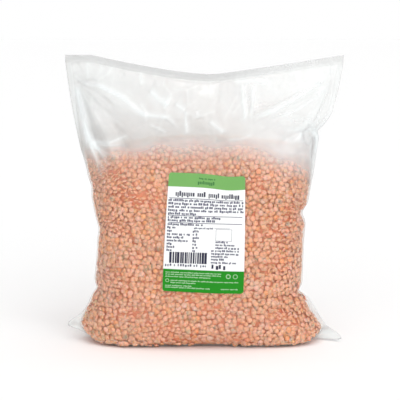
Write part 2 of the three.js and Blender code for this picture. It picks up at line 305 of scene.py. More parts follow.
def fold_relief(folds, x, height):
    """How far folds stand out at each place: rounded across, and fading out at both ends."""
    relief = np.zeros(np.shape(x))
    for start, end, width, rise in folds:
        dx, dz = end[0] - start[0], end[1] - start[1]
        length = np.hypot(dx, dz)
        along = ((x - start[0]) * dx + (height - start[1]) * dz) / length**2
        aside = ((x - start[0]) * dz - (height - start[1]) * dx) / length
        ends = ease(*FOLD_BEGINS, along) * ease(*FOLD_ENDS, along)
        relief += rise * ends * np.exp(-(np.abs(aside / width) ** FOLD_ROUNDNESS))
    return relief


def crease_relief(creases, x, height):
    """Like folds, but with a sharp crest that follows each crease's bends."""
    relief = np.zeros(np.shape(x))
    for path, width, rise in creases:
        path = np.array(path, float)
        low, high = path.min(0) - CREASE_FAR * width, path.max(0) + CREASE_FAR * width
        near = (x > low[0]) & (x < high[0]) & (height > low[1]) & (height < high[1])
        if not near.any():
            continue
        px, pz = x[near], height[near]
        legs = np.hypot(*np.diff(path, axis=0).T)
        run = np.append(0, np.cumsum(legs))
        nearest, along = np.full(px.shape, np.inf), np.zeros(px.shape)
        for (sx, sz), (ex, ez), leg, before in zip(path, path[1:], legs, run):
            dx, dz = ex - sx, ez - sz
            share = np.clip(((px - sx) * dx + (pz - sz) * dz) / leg**2, 0, 1)
            away = np.hypot(px - sx - share * dx, pz - sz - share * dz)
            along = np.where(away < nearest, (before + share * leg) / run[-1], along)
            nearest = np.minimum(away, nearest)
        ends = ease(*CREASE_BEGINS, along) * ease(*CREASE_ENDS, along)
        relief[near] += rise * ends * np.exp(-nearest / width)
    return relief


FOLDS = {FRONT: FRONT_FOLDS, BACK: BACK_FOLDS}
CREASES = {FRONT: FRONT_CREASES + fine_creases(11), BACK: BACK_CREASES + fine_creases(23)}
SEAL_RIDGES = [(TOP_EDGE_HEIGHT - 8.2, 0.3, 1.2)]
PROFILE_STEPS = 721
# The film folds where it stands this far out, and over these heights above the floor
FOLDING_DEPTH = 14
FOLDING_HEIGHTS = (4, 30)
# Where its two layers lie together they crease together, but less in the stiff seal
TOGETHER_HEIGHTS = (SLACK_FROM - 30, SLACK_FROM + 20)
SEAL_STIFFNESS = 0.6
SEAL_STIFF_HEIGHTS = (TOP_EDGE_HEIGHT - 16, TOP_EDGE_HEIGHT - SEAL_BELOW_EDGE)
# The slack part waves to and fro: how far, how often in half the width, and the waves' start
SLACK_WAVES = [(5, 3.6, 0.6), (2, 9, 0)]
EAR_CURL_HEIGHTS = (60, 30)
EAR_DROOP_HEIGHTS = (30, 14)


def film_grid(levels, side, columns, edge_columns, finely):
    """Points of the film's front or back, as (level, left to right, xyz)."""
    across_angle = np.linspace(-np.pi / 2, np.pi / 2, PROFILE_STEPS)
    rows = []
    for level in levels:
        left, right, left_outer, right_outer = sides_at(level)
        middle, reach = (left + right) / 2, (right - left) / 2
        bend = np.sign(across_angle) * np.abs(np.sin(across_angle)) ** (2 / square_across(level))
        deep = body_depth(bend, level, side)
        path = np.append(0, np.cumsum(np.hypot(np.diff(middle + reach * bend), np.diff(deep))))
        even = np.interp(np.linspace(0, path[-1], columns), path, middle + reach * bend)
        left_edge = np.linspace(left_outer, left, edge_columns, endpoint=False)
        right_edge = np.linspace(right_outer, right, edge_columns, endpoint=False)[::-1]
        x = np.concatenate([left_edge, even, right_edge])
        across = np.clip((x - middle) / reach, -1, 1)
        height = level + ease(*TOP_EDGE_CLIMBS, level) * top_edge_rise(x)
        depth = body_depth(across, level, side)
        room = ease(0, FOLDING_DEPTH, depth - LAYER_GAP) * ease(*FOLDING_HEIGHTS, level)
        depth = depth + (swells(x, height, side) + fold_relief(FOLDS[side], x, height)) * room
        together = 0
        if finely:
            depth = depth + crease_relief(CREASES[side], x, height) * room
            flat = (1 - room) * ease(*TOGETHER_HEIGHTS, level)
            soft = 1 - SEAL_STIFFNESS * ease(*SEAL_STIFF_HEIGHTS, level)
            together = crease_relief(CREASES[FRONT], x, height) * flat * soft
            together = together + bumps(level, SEAL_RIDGES)
        if side == FRONT:
            drawn_back, half_width, fades_by = BASE_DRAWN_BACK
            share = np.exp(-((x / half_width) ** 2)) * ease(fades_by, 0, level)
            depth = depth - drawn_back * share
        depth = np.maximum(depth, LAYER_GAP)
        beyond_right = np.maximum(0, x - right)
        beyond = np.maximum(np.maximum(0, left - x), beyond_right) / RIGHT_EAR[1]
        wave = sum(
            far * np.sin(often * x / (FLAT_WIDTH / 2) + start) for far, often, start in SLACK_WAVES
        )
        plane = wave * ease(SLACK_FROM, TOP_EDGE_HEIGHT, level) - together
        plane = plane - EAR_CURL * np.minimum(1, beyond) ** 2 * ease(*EAR_CURL_HEIGHTS, level)
        droop = EAR_DROOP * np.minimum(1, beyond_right / RIGHT_EAR[1]) ** 2
        height = height - droop * ease(*EAR_DROOP_HEIGHTS, level)
        rows.append(np.stack([x, plane + side * depth, height], 1))
    return np.array(rows)


def closed_loft(front, back):
    """Vertices and faces of a closed skin, from a front and a back grid of the same size."""
    rings = np.concatenate([front, back[:, ::-1]], 1)
    levels, round_count = rings.shape[:2]
    half = round_count // 2
    lower = np.arange(levels - 1)[:, None] * round_count
    here = np.arange(round_count)
    following = (here + 1) % round_count
    wall = np.stack(
        [lower + here, lower + following, lower + round_count + following,
         lower + round_count + here], -1,
    ).reshape(-1, 4)
    i = np.arange(half - 1)
    opposite = round_count - 1 - i
    top = (levels - 1) * round_count
    bottom_cap = np.stack([i, opposite, opposite - 1, i + 1], 1)
    top_cap = top + np.stack([i, i + 1, opposite - 1, opposite], 1)
    return rings.reshape(-1, 3), np.concatenate([wall, bottom_cap, top_cap])


def piece_from(name, points, faces, marks=None):
    """A smooth-shaded mesh object from points in millimetres, with named marks on its points."""
    mesh = bpy.data.meshes.new(name)
    mesh.vertices.add(len(points))
    placed = (points + FRAME_SHIFT) / 1000
    mesh.vertices.foreach_set("co", placed.astype(np.float32).ravel())
    sides = faces.shape[1]
    mesh.loops.add(faces.size)
    mesh.loops.foreach_set("vertex_index", faces.astype(np.int32).ravel())
    mesh.polygons.add(len(faces))
    mesh.polygons.foreach_set("loop_start", np.arange(0, faces.size, sides, dtype=np.int32))
    mesh.polygons.foreach_set("use_smooth", np.ones(len(faces), bool))
    for mark, values in (marks or {}).items():
        layer = mesh.attributes.new(mark, "FLOAT", "POINT")
        layer.data.foreach_set("value", values.astype(np.float32).ravel())
    mesh.update(calc_edges=True)
    mesh.validate()
    piece = bpy.data.objects.new(name, mesh)
    bpy.context.collection.objects.link(piece)
    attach(piece, "root")
    return piece


# The film
# Polythene 0.1 mm thick, so it has an outer and an inner skin. Where the lentils press on it, it is
# wet-looking and clear. Where it hangs slack it is milky, most of all along its creases, and just
# above the lentils painted shade greys it. Where it is milky on lentils, their colour tints it.
FILM_THICKNESS = 0.1
LENTIL_TOP = 273
LENTIL_TOP_AT_SIDES = 260
LENTIL_TOP_HALF_WIDTH = 140
FILM_COLUMNS = 200
FILM_EDGE_COLUMNS = 8
BASE_LEVELS = [0, 0.7, 1.5, 2.6, 4, 5.6, 7.4, 9.4, 11.6, 14, 16.6, 19.4, 22.4, 25.6, 29, 32.5]
BODY_STEP = 2.5
SLACK_STEP = 1.45
SLACK_ROWS_FROM = SLACK_FROM - 30
SEAL_ROWS = 11


def lentil_top(x):
    """The height of the lentils' top at the film."""
    return LENTIL_TOP - (LENTIL_TOP - LENTIL_TOP_AT_SIDES) * (x / LENTIL_TOP_HALF_WIDTH) ** 2


film_levels = np.concatenate([
    BASE_LEVELS,
    np.arange(BASE_LEVELS[-1] + BODY_STEP, SLACK_ROWS_FROM, BODY_STEP),
    np.arange(SLACK_ROWS_FROM, TOP_EDGE_HEIGHT - SEAL_BELOW_EDGE - 0.5, SLACK_STEP),
    np.linspace(TOP_EDGE_HEIGHT - SEAL_BELOW_EDGE, TOP_EDGE_HEIGHT, SEAL_ROWS),
])
film_sides = {
    side: film_grid(film_levels, side, FILM_COLUMNS, FILM_EDGE_COLUMNS, True)
    for side in (FRONT, BACK)
}
film_points, film_faces = closed_loft(film_sides[FRONT], film_sides[BACK])


# Waves that make an uneven field: how many, their lengths as shares, and how far they add up
PATCH_WAVES = 7
PATCH_LENGTHS = (0.6, 1.6)
PATCH_SUM = 3


def patches(x, height, seed, length):
    """A smooth uneven field, about -1 to 1, with patches of roughly the given length."""
    draw = np.random.default_rng(seed)
    field = 0
    for _ in range(PATCH_WAVES):
        direction = draw.uniform(0, np.pi)
        pitch = length * draw.uniform(*PATCH_LENGTHS) / np.pi
        run = (x * np.cos(direction) + height * np.sin(direction)) / pitch
        field = field + np.sin(run + draw.uniform(0, 6.28))
    return field / PATCH_SUM


# Milkiness fades out down the lentils: where it ends, from their top, and over what height; how
# steeply it falls; how uneven its end is; and how much lower it is at the left and at the right
FADE_ENDS = -66
FADE_HEIGHT = 70
FADE_STEEPNESS = 2.5
FADE_UNEVENNESS = 4
FADE_LOWER_BY = (3, 14)
FADE_SIDES = (60, 130)
# Film that lies loosely on the lentils: in patches, mostly at the left, and up both sides
LOOSE_PATCHES = 0.1
LOOSE_PATCH_RANGE = (0.1, 0.8)
LOOSE_LEANING = 0.002
SIDE_HAZES = (0.2, 0.35)
HAZY_SIDES = (100, 145)
HAZY_HEIGHTS = (60, 100)
# Film high above the lentils is clearer, most of all at the right: how much, over what height
CLEARER_ABOVE = 0.3, (0, 45)
CLEARER_AT_RIGHT = 0.4, (0, 60)
RIGHT_PART = (10, 110)
# The lentils' colour tints the milkiness from their top down, and lower or higher at each side
TINT_HEIGHTS = (-5, -36)
TINT_LOWER_BY = (-9, 16)
TINT_SIDES = (40, 120)
# Painted shade greys only the slack film, and hardly at the right
SHADING_SHARPNESS = 3
SHADING_MISSING = 0.9
SHADING_ENDS = (20, 110)


def at_sides(x, left_and_right, reach):
    """A value for the left and one for the right, each growing from 0 over the reach."""
    left, right = left_and_right
    return left * ease(*reach, -x) + right * ease(*reach, x)


def slackness(points):
    """0 where the film lies on lentils, most just above them, less where it hangs free."""
    x, height = points[:, 0], points[:, 2]
    above = height - lentil_top(x) + FADE_UNEVENNESS * patches(x, height, seed=31, length=34)
    loose_here = patches(x, height, seed=77, length=60) - LOOSE_LEANING * x
    loose = LOOSE_PATCHES * ease(*LOOSE_PATCH_RANGE, loose_here)
    loose = loose + at_sides(x, SIDE_HAZES, HAZY_SIDES) * ease(*HAZY_HEIGHTS, height)
    up_the_fade = above - FADE_ENDS + at_sides(x, FADE_LOWER_BY, FADE_SIDES)
    fade = np.clip(up_the_fade / FADE_HEIGHT, 0, 1) ** FADE_STEEPNESS
    (share, heights), (right_share, right_heights) = CLEARER_ABOVE, CLEARER_AT_RIGHT
    clearer = share * ease(*heights, above)
    clearer = clearer + right_share * ease(*right_heights, above) * ease(*RIGHT_PART, x)
    return (fade + (1 - fade) * loose) * (1 - clearer)


def lentil_tint(points):
    """1 where the film's milkiness lies against lentils, 0 from just below their top upwards."""
    x, height = points[:, 0], points[:, 2]
    return ease(*TINT_HEIGHTS, height - lentil_top(x) + at_sides(x, TINT_LOWER_BY, TINT_SIDES))


def shading_above_lentils(points):
    """How much painted shade greys the milkiness, 0 to 1."""
    return slackness(points) ** SHADING_SHARPNESS * (1 - SHADING_MISSING * ease(*SHADING_ENDS, points[:, 0]))


# Two layers lie together at the side creases, the ears and the seal
EAR_TOP = 60
EAR_MILKINESS = 2
SEAL_MILKINESS = 0.6
film_edge = np.zeros((len(film_levels), FILM_COLUMNS + 2 * FILM_EDGE_COLUMNS))
film_edge[:, :FILM_EDGE_COLUMNS] = 1
film_edge[:, -FILM_EDGE_COLUMNS:] = 1
film_edge[film_levels < EAR_TOP] *= EAR_MILKINESS
film_edge[film_levels > TOP_EDGE_HEIGHT - SEAL_BELOW_EDGE - 1] = SEAL_MILKINESS


def crease_mark(strength_of):
    """How strongly each point of the film lies on a crease, 0 to 1."""
    marks = []
    for side in (FRONT, BACK):
        lines = [(path, width, strength_of(rise)) for path, width, rise in CREASES[side]]
        lines = [line for line in lines if line[2] > 0]
        x, height = film_sides[side][..., 0], film_sides[side][..., 2]
        marks.append(crease_relief(lines, x, height)[:, ::-side])
    return np.clip(np.concatenate(marks, 1), 0, 1)


# Grey lines: the film's cut edge, the seal's lower edge (height, how much, half height), the seal
EDGE_GREYNESS = 0.7
SEAL_LINE = (TOP_EDGE_HEIGHT - SEAL_BELOW_EDGE, 0.25, 2.4)
SEAL_GREYNESS = 0.52
SEAL_GREY_FROM = TOP_EDGE_HEIGHT - 8
# How far a crease rises for a full painted highlight, and sinks to get painted shade and full shade
HIGHLIGHT_RISE = 2
SHADE_SINK = 1.2
FULL_SHADE_SINK = 2.7
doubled = np.concatenate([film_edge, film_edge[:, ::-1]], 1)
cut_edge = np.zeros(doubled.shape)
cut_edge[:, [0, film_edge.shape[1] - 1, film_edge.shape[1], -1]] = EDGE_GREYNESS
seal_line = bumps(film_levels, [SEAL_LINE])[:, None]
seal_line = np.maximum(seal_line, SEAL_GREYNESS * (film_levels > SEAL_GREY_FROM)[:, None])
# Raised creases get a painted highlight
highlit_creases = crease_mark(lambda rise: rise / HIGHLIGHT_RISE)
# Sunken creases get painted shade
shaded_creases = crease_mark(lambda rise: (-rise - SHADE_SINK) / (FULL_SHADE_SINK - SHADE_SINK))
film_marks = {
    "slack": slackness(film_points),
    "shaded_milk": shading_above_lentils(film_points),
    "tint": lentil_tint(film_points) * (doubled.ravel() == 0),
    "doubled": doubled,
    "crest_highlight": np.maximum(highlit_creases, doubled > 1),
    "valley_shade_and_lines": np.maximum(shaded_creases, np.maximum(cut_edge, seal_line)),
}
outer_skin = piece_from("film", film_points, film_faces, film_marks)
skin_ways = np.zeros(film_points.size, np.float32)
outer_skin.data.vertices.foreach_get("normal", skin_ways)
inner_points = film_points - FILM_THICKNESS * skin_ways.reshape(-1, 3)
inner_skin = piece_from("film_inside", inner_points, film_faces, film_marks)


def new_material(name):
    material = bpy.data.materials.new(name)
    material.use_nodes = True
    material.node_tree.nodes.clear()
    return material, material.node_tree


def add_node(tree, kind, settings=None, **inputs):
    """A node with its settings, and inputs that are values or other nodes' outputs."""
    node = tree.nodes.new(kind)
    for key, value in (settings or {}).items():
        setattr(node, key, value)
    for key, value in inputs.items():
        place = int(key[1:]) if key[0] == "i" and key[1:].isdigit() else key.replace("_", " ")
        if isinstance(value, bpy.types.NodeSocket):
            tree.links.new(value, node.inputs[place])
        else:
            node.inputs[place].default_value = value
    return node


def math(tree, operation, first, second=0.0, clamped=False):
    settings = {"operation": operation, "use_clamp": clamped}
    return add_node(tree, "ShaderNodeMath", settings, i0=first, i1=second).outputs[0]


# How much of the light the film stops in all, and how uneven that is where it is slack
CLEAR_HAZE = 0.02
SLACK_HAZE = 0.72
SLACK_HAZE_LEAST = 0.8
SLACK_HAZE_CLOUDS = 0.4
DOUBLED_HAZE = 0.13
CREASE_HAZE = 0.3
MOST_HAZE = 0.92
HEAD_ON_GLOSS = 0.018
GLANCING_GLOSS = 0.2
MILK_COLOUR = (0.91, 0.93, 0.935, 1)
# Grey of the painted shade on the slack film just above the lentils
SHADED_MILK_COLOUR = (0.72, 0.715, 0.70, 1)
TINTED_COLOUR = (0.78, 0.58, 0.47, 1)
# Painted highlight on raised creases, also the whiter colour of the ears' doubled film
CREST_HIGHLIGHT_COLOUR = (0.94, 0.985, 0.99, 1)
# Painted shade in sunken creases, also the grey lines of the cut edge and the seal
VALLEY_SHADE_AND_LINE_COLOUR = (0.66, 0.66, 0.66, 1)

film_material, tree = new_material("clear_film")


def mark_of(tree, name):
    return add_node(tree, "ShaderNodeAttribute", {"attribute_name": name}).outputs["Fac"]


place = add_node(tree, "ShaderNodeTexCoord").outputs["Object"]
cloud = add_node(tree, "ShaderNodeTexNoise", Vector=place, Scale=26.0, Detail=4.0).outputs["Fac"]
crinkle = add_node(tree, "ShaderNodeTexNoise", Vector=place, Scale=240.0, Detail=3.0).outputs["Fac"]
uneven = math(tree, "ADD", math(tree, "MULTIPLY", cloud, SLACK_HAZE_CLOUDS), SLACK_HAZE_LEAST)
milky = math(tree, "MULTIPLY", math(tree, "MULTIPLY", mark_of(tree, "slack"), SLACK_HAZE), uneven)
thicker = math(tree, "MULTIPLY", mark_of(tree, "doubled"), DOUBLED_HAZE)
crest_highlight, valley_shade_and_lines = mark_of(tree, "crest_highlight"), mark_of(tree, "valley_shade_and_lines")
creased = math(tree, "MULTIPLY", math(tree, "ADD", crest_highlight, valley_shade_and_lines), CREASE_HAZE)
extra = math(tree, "ADD", thicker, creased)
haze = math(tree, "ADD", math(tree, "ADD", milky, extra), CLEAR_HAZE)
clear_share = math(tree, "SUBTRACT", 1.0, math(tree, "MINIMUM", haze, MOST_HAZE))
# Each of the two skins stops its part, so that both together stop as much as the haze says
skin_haze = math(tree, "SUBTRACT", 1.0, math(tree, "SQRT", clear_share))
wrinkled = add_node(tree, "ShaderNodeBump", Strength=0.12, Distance=0.0006, Height=crinkle)
wrinkled = wrinkled.outputs["Normal"]
# The milk's colour takes on painted shade above the lentils, the lentils' tint, painted highlights
# on raised creases and painted shade in sunken ones
colour = MILK_COLOUR
for mark, its_colour in (
    (mark_of(tree, "shaded_milk"), SHADED_MILK_COLOUR), (mark_of(tree, "tint"), TINTED_COLOUR),
    (crest_highlight, CREST_HIGHLIGHT_COLOUR), (valley_shade_and_lines, VALLEY_SHADE_AND_LINE_COLOUR),
):
    colour = add_node(
        tree, "ShaderNodeMix", {"data_type": "RGBA"}, i0=mark, i6=colour, i7=its_colour
    ).outputs[2]
see_through = add_node(tree, "ShaderNodeBsdfTransparent", Color=(0.995, 0.995, 0.992, 1))
milk = add_node(
    tree, "ShaderNodeBsdfPrincipled", Base_Color=colour, Roughness=0.35, Normal=wrinkled
)
sheet = add_node(
    tree, "ShaderNodeMixShader", i0=skin_haze, i1=see_through.outputs[0], i2=milk.outputs[0]
)
gloss = add_node(
    tree, "ShaderNodeBsdfAnisotropic", Color=(0.95, 0.95, 0.95, 1), Roughness=0.1, Normal=wrinkled
)
glancing = add_node(tree, "ShaderNodeLayerWeight", Blend=0.5, Normal=wrinkled).outputs["Facing"]
glancing = math(tree, "MULTIPLY", math(tree, "POWER", glancing, 5.0), GLANCING_GLOSS)
mirror = math(tree, "ADD", glancing, HEAD_ON_GLOSS)
skin = add_node(
    tree, "ShaderNodeMixShader", i0=mirror, i1=sheet.outputs[0], i2=gloss.outputs[0]
)
add_node(tree, "ShaderNodeOutputMaterial", Surface=skin.outputs[0])
for skin_piece in (outer_skin, inner_skin):
    skin_piece.data.materials.append(film_material)
    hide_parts("bag")

# The lentils
# Red split lentils are half lenses 6 to 8 mm across, flat on one side, salmon to orange, dry and
# satin. Against the film most lie flat, in patches they stand on edge. Under two layers of single
# lentils a plain core fills the bag, darker and redder than the lentils as painted shade between
# them. The lentils' top is a low mound.
CORE_INSET = 4.2
CORE_LEAST_DEPTH = 0.2
CORE_LEVELS = np.concatenate([[CORE_INSET, 7, 11, 16, 22, 30], np.arange(38, LENTIL_TOP, 8)])
CORE_COLUMNS = 90
CORE_TOP_ROWS = 8
MOUND_RISE = 2
MOUND_HALF_DEPTH = 35


def core_ring(level, side):
    """One side of the core at a level: the film's own line, moved inwards."""
    ring = film_grid([level], side, CORE_COLUMNS, 0, False)[0]
    left, right = sides_at(level)[:2]
    middle, reach = (left + right) / 2, (right - left) / 2
    ring[:, 0] = middle + (ring[:, 0] - middle) * (reach - CORE_INSET) / reach
    ring[:, 1] = side * np.maximum(np.abs(ring[:, 1]) - CORE_INSET, CORE_LEAST_DEPTH)
    ring[:, 2] = np.minimum(level, lentil_top(ring[:, 0]) - CORE_INSET)
    return ring


core_sides = {FRONT: [], BACK: []}
for side in (FRONT, BACK):
    core_sides[side] = [core_ring(level, side) for level in CORE_LEVELS]
    shoulder = core_sides[side][-1]
    for row in range(1, CORE_TOP_ROWS + 1):
        inner = shoulder.copy()
        inner[:, 1] *= 1 - row / (CORE_TOP_ROWS + 0.5)
        mound = MOUND_RISE * (1 - (1 - row / CORE_TOP_ROWS) ** 2)
        inner[:, 2] = lentil_top(shoulder[:, 0]) - CORE_INSET + mound
        core_sides[side].append(inner)
core_points, core_faces = closed_loft(np.array(core_sides[FRONT]), np.array(core_sides[BACK]))
core = piece_from("lentil_core", core_points, core_faces)
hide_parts("bag")

LENTIL_SIDES = 12
SHOULDER_RADIUS = 0.76
SHOULDER_HEIGHT = 0.78
UNDERSIDE_BULGE = 0.12
# A lentil of radius 1 and height 1: a rim, a shoulder, the dome's top and the flat side's middle
turn = np.arange(LENTIL_SIDES) * 2 * np.pi / LENTIL_SIDES
rim = np.stack([np.cos(turn), np.sin(turn), 0 * turn], 1)
shoulder = rim * SHOULDER_RADIUS + (0, 0, SHOULDER_HEIGHT)
LENTIL_FORM = np.concatenate([rim, shoulder, [(0, 0, 1), (0, 0, -UNDERSIDE_BULGE)]])
here = np.arange(LENTIL_SIDES)
ahead = (here + 1) % LENTIL_SIDES
LENTIL_FACES = np.concatenate([
    np.stack([here, ahead, LENTIL_SIDES + ahead], 1),
    np.stack([here, LENTIL_SIDES + ahead, LENTIL_SIDES + here], 1),
    np.stack([LENTIL_SIDES + here, LENTIL_SIDES + ahead, 0 * here + 2 * LENTIL_SIDES], 1),
    np.stack([ahead, here, 0 * here + 2 * LENTIL_SIDES + 1], 1),
])
LENTIL_RADII = (3.1, 4.2)
LENTIL_WIDTHS = (0.88, 1.04)
LENTIL_HEIGHTS = (1.1, 1.6)
FILM_CLEARANCE = 0.35
# More room under the slack film just below the lentils' top, and at the base's side corners
SLACK_CLEARANCE = 1.4
SLACK_CLEARANCE_DOWN_TO = 30
CORNER_CLEARANCE = 6
CORNER_HEIGHT = 12
OUTER_SPACING = 6.3
INNER_SPACING = 5.8
MOUND_SPACING = 4.9
ROW_SPACING = 0.9
# How far places stray from their even spacing, along a row and upwards, in spacings
STRAY_ALONG = 0.22
STRAY_UP = 0.2
WALL_LEVELS = np.concatenate([np.arange(0.5, 30, 1.0), np.arange(30, LENTIL_TOP + 4, 2.0)])
WALL_COLUMNS = 241
LOWEST_ROW = 0.3
LOWEST_PLACE = 0.4
# The mound's and the base's lentils: how far out, straying, and clear of the film all round
LEVEL_REACH = (158, 58)
LEVEL_STRAY = 0.8
LEVEL_CLEARANCE = 7
LEVEL_ACROSS = 0.93
MOUND_UNEVENNESS = 0.6


def unit(vectors):
    return vectors / np.linalg.norm(vectors, axis=-1, keepdims=True)


def wall_places(side, spacing, draw):
    """Places on the film's inside about a spacing apart, with the way out of the film."""
    grid = film_grid(WALL_LEVELS, side, WALL_COLUMNS, 0, True)
    up = np.gradient(grid, axis=0)
    along = np.gradient(grid, axis=1)
    out = unit(np.cross(along, up)) * (1 if side == FRONT else -1)
    run = np.append(0, np.cumsum(np.linalg.norm(np.diff(grid, axis=0), axis=2).mean(1)))
    up_the_wall = np.arange(LOWEST_ROW, run[-1], spacing * ROW_SPACING)
    rows = np.interp(up_the_wall, run, np.arange(len(WALL_LEVELS)))
    places, ways = [], []
    for number, row in enumerate(rows):
        low = min(int(row), len(WALL_LEVELS) - 2)
        line = grid[low] + (grid[low + 1] - grid[low]) * (row - low)
        way = out[low] + (out[low + 1] - out[low]) * (row - low)
        reach = np.append(0, np.cumsum(np.linalg.norm(np.diff(line, axis=0), axis=1)))
        at = np.arange((number % 2) * spacing / 2, reach[-1], spacing)
        at = np.clip(at + draw.normal(0, spacing * STRAY_ALONG, len(at)), 0, reach[-1])
        places.append(np.stack([np.interp(at, reach, line[:, k]) for k in range(3)], 1))
        ways.append(np.stack([np.interp(at, reach, way[:, k]) for k in range(3)], 1))
        places[-1][:, 2] += draw.normal(0, spacing * STRAY_UP, len(at))
    places, ways = np.concatenate(places), unit(np.concatenate(ways))
    x, height = places[:, 0], places[:, 2]
    left, right = sides_at(height)[:2]
    clear_of_corner = np.minimum(x - left, right - x) > CORNER_CLEARANCE
    inside = (height < lentil_top(x)) & (height > LOWEST_PLACE)
    inside &= clear_of_corner | (height > CORNER_HEIGHT)
    return places[inside], ways[inside]


def level_places(floor_like, spacing, draw):
    """Places on the mound, or on the base if floor_like."""
    far_x, far_y = LEVEL_REACH
    rows = np.arange(-far_y, far_y, spacing * ROW_SPACING)
    x, y = np.meshgrid(np.arange(-far_x, far_x, spacing), rows)
    x = x.ravel() + draw.normal(0, LEVEL_STRAY, x.size)
    y = y.ravel() + draw.normal(0, LEVEL_STRAY, y.size)
    height = 0 * x if floor_like else lentil_top(x)
    left, right = sides_at(height)[:2]
    across = (x - (left + right) / 2) / ((right - left) / 2)
    room = body_depth(np.clip(across, -1, 1), height, BACK) - LEVEL_CLEARANCE
    if floor_like:
        room = room - BASE_DRAWN_BACK[0]
    kept = (np.abs(y) < room) & (np.abs(across) < LEVEL_ACROSS)
    x, y, height = x[kept], y[kept], height[kept]
    if not floor_like:
        height = height + MOUND_RISE * (1 - (y / MOUND_HALF_DEPTH) ** 2)
        height = height + draw.normal(0, MOUND_UNEVENNESS, len(x))
    way = (0.0, 0.0, -1.0 if floor_like else 1.0)
    return np.stack([x, y, height], 1), np.tile(way, (len(x), 1))


NEARLY_UPRIGHT = 0.9


def turned(ways, tilt, lean, draw):
    """For each way, three axes of a lentil that leans away from it by the tilt, spun at random."""
    helper = np.where(np.abs(ways[:, 2:]) < NEARLY_UPRIGHT, [(0, 0, 1)], [(1, 0, 0)])
    first = unit(np.cross(helper, ways))
    second = np.cross(ways, first)
    lean, tilt = lean[:, None], tilt[:, None]
    axis = ways * np.cos(tilt) + (first * np.cos(lean) + second * np.sin(lean)) * np.sin(tilt)
    start = unit(np.cross(axis, helper + 0.01))
    spin = draw.uniform(0, 2 * np.pi, len(ways))[:, None]
    one = start * np.cos(spin) + np.cross(axis, start) * np.sin(spin)
    return one, np.cross(axis, one), axis


# A lentil's tilt where they lie flat (mean, spread), and what is added where they stand on edge
FLAT_TILT = (0.14, 0.16)
STANDING_TILT = (0.3, 1.3)
STANDING_PATCHES = (0.2, 1.0)
STEEPEST_TILT = 1.5
# Tilted lentils lean up or down, twice as many up, and turn a little from patch to patch
LEANS = (-1, 1, 1)
LEAN_SPREAD = 0.45
LEAN_BY_PATCH = 0.5
# How much room the flat side takes, the least room for any lentil, and how far they stray inwards
FLAT_SIDE_ROOM = 0.2
LEAST_ROOM = 0.3
STRAY_INWARDS = 1.4
STEEPEST_WALL = 0.8


def lentil_batch(places, ways, depth, restlessness, draw):
    """Points of lentils that touch the film from inside, depth further in, as (lentil, point)."""
    count = len(places)
    x, height = places[:, 0], places[:, 2]
    restless = patches(x, height, seed=5, length=42) + restlessness
    tilt = np.abs(draw.normal(*FLAT_TILT, count))
    tilt = tilt + ease(*STANDING_PATCHES, restless) * draw.uniform(*STANDING_TILT, count)
    lean = np.pi / 2 * draw.choice(LEANS, count) + draw.normal(0, LEAN_SPREAD, count)
    lean = lean + LEAN_BY_PATCH * patches(x, height, seed=9, length=70)
    radius = draw.uniform(*LENTIL_RADII, count)
    tall = draw.uniform(*LENTIL_HEIGHTS, count) * np.where(draw.random(count) < 0.5, 1, -1)
    one, two, axis = turned(ways, np.minimum(tilt, STEEPEST_TILT), lean, draw)
    thick = np.where(tall > 0, tall, FLAT_SIDE_ROOM)
    needed = np.maximum(radius * np.abs(np.sin(tilt)) + thick * np.cos(tilt), LEAST_ROOM)
    sunk = FILM_CLEARANCE + depth + needed + draw.uniform(0, STRAY_INWARDS, count)
    on_wall = np.abs(ways[:, 2]) < STEEPEST_WALL
    near_top = ease(SLACK_CLEARANCE_DOWN_TO, 0, lentil_top(x) - height)
    sunk = sunk + on_wall * SLACK_CLEARANCE * near_top
    centre = places - ways * sunk[:, None]
    wide = radius * draw.uniform(*LENTIL_WIDTHS, count)
    form = LENTIL_FORM[None]
    points = centre[:, None] + form[..., 0:1] * (one * radius[:, None])[:, None]
    points = points + form[..., 1:2] * (two * wide[:, None])[:, None]
    return points + form[..., 2:3] * (axis * tall[:, None])[:, None], tall


# How far each layer is from the film, and how restless its lentils are
OUTER_LAYER = (0, 0)
INNER_LAYER = (2.2, 0.5)
MOUND_LAYER = (-1.0, 0.2)
BASE_LAYER = (0, -0.5)
FLOOR_CLEARANCE = 0.3
draw = np.random.default_rng(4)
batches = []
for side in (FRONT, BACK):
    outer_places = wall_places(side, OUTER_SPACING, draw)
    batches.append(lentil_batch(*outer_places, *OUTER_LAYER, draw))
    inner_places = wall_places(side, INNER_SPACING, draw)
    batches.append(lentil_batch(*inner_places, *INNER_LAYER, draw))
batches.append(lentil_batch(*level_places(False, MOUND_SPACING, draw), *MOUND_LAYER, draw))
batches.append(lentil_batch(*level_places(True, OUTER_SPACING, draw), *BASE_LAYER, draw))
lentil_points = np.concatenate([points for points, _ in batches])
lentil_tall = np.concatenate([tall for _, tall in batches])
# The second and fourth batches are the inner layers of the front and the back
deeper = np.concatenate([
    np.full(len(tall), number in (1, 3)) for number, (_, tall) in enumerate(batches)
])
lowest = lentil_points[:, :, 2].min(1)
lentil_points[:, :, 2] += np.maximum(0, FLOOR_CLEARANCE - lowest)[:, None]

# Kinds of lentil: name, share at the film and deeper in, dark and pale colour. Deeper in, most are
# of the orange kind, as painted shade between the lentils at the film.
LENTIL_KINDS = [
    ("salmon", 0.45, 0.18, (0.88, 0.41, 0.24), (0.93, 0.45, 0.28)),
    ("rose", 0.39, 0.17, (0.87, 0.42, 0.275), (0.92, 0.47, 0.325)),
    ("pale", 0.06, 0, (0.91, 0.46, 0.33), (0.95, 0.54, 0.42)),
    ("orange", 0.06, 0.55, (0.90, 0.35, 0.16), (0.94, 0.42, 0.21)),
    ("russet", 0.04, 0.1, (0.78, 0.32, 0.18), (0.87, 0.39, 0.24)),
]
LENTIL_TONES = (0.05, 0.95)
LENTIL_BLOTCHES = 420.0
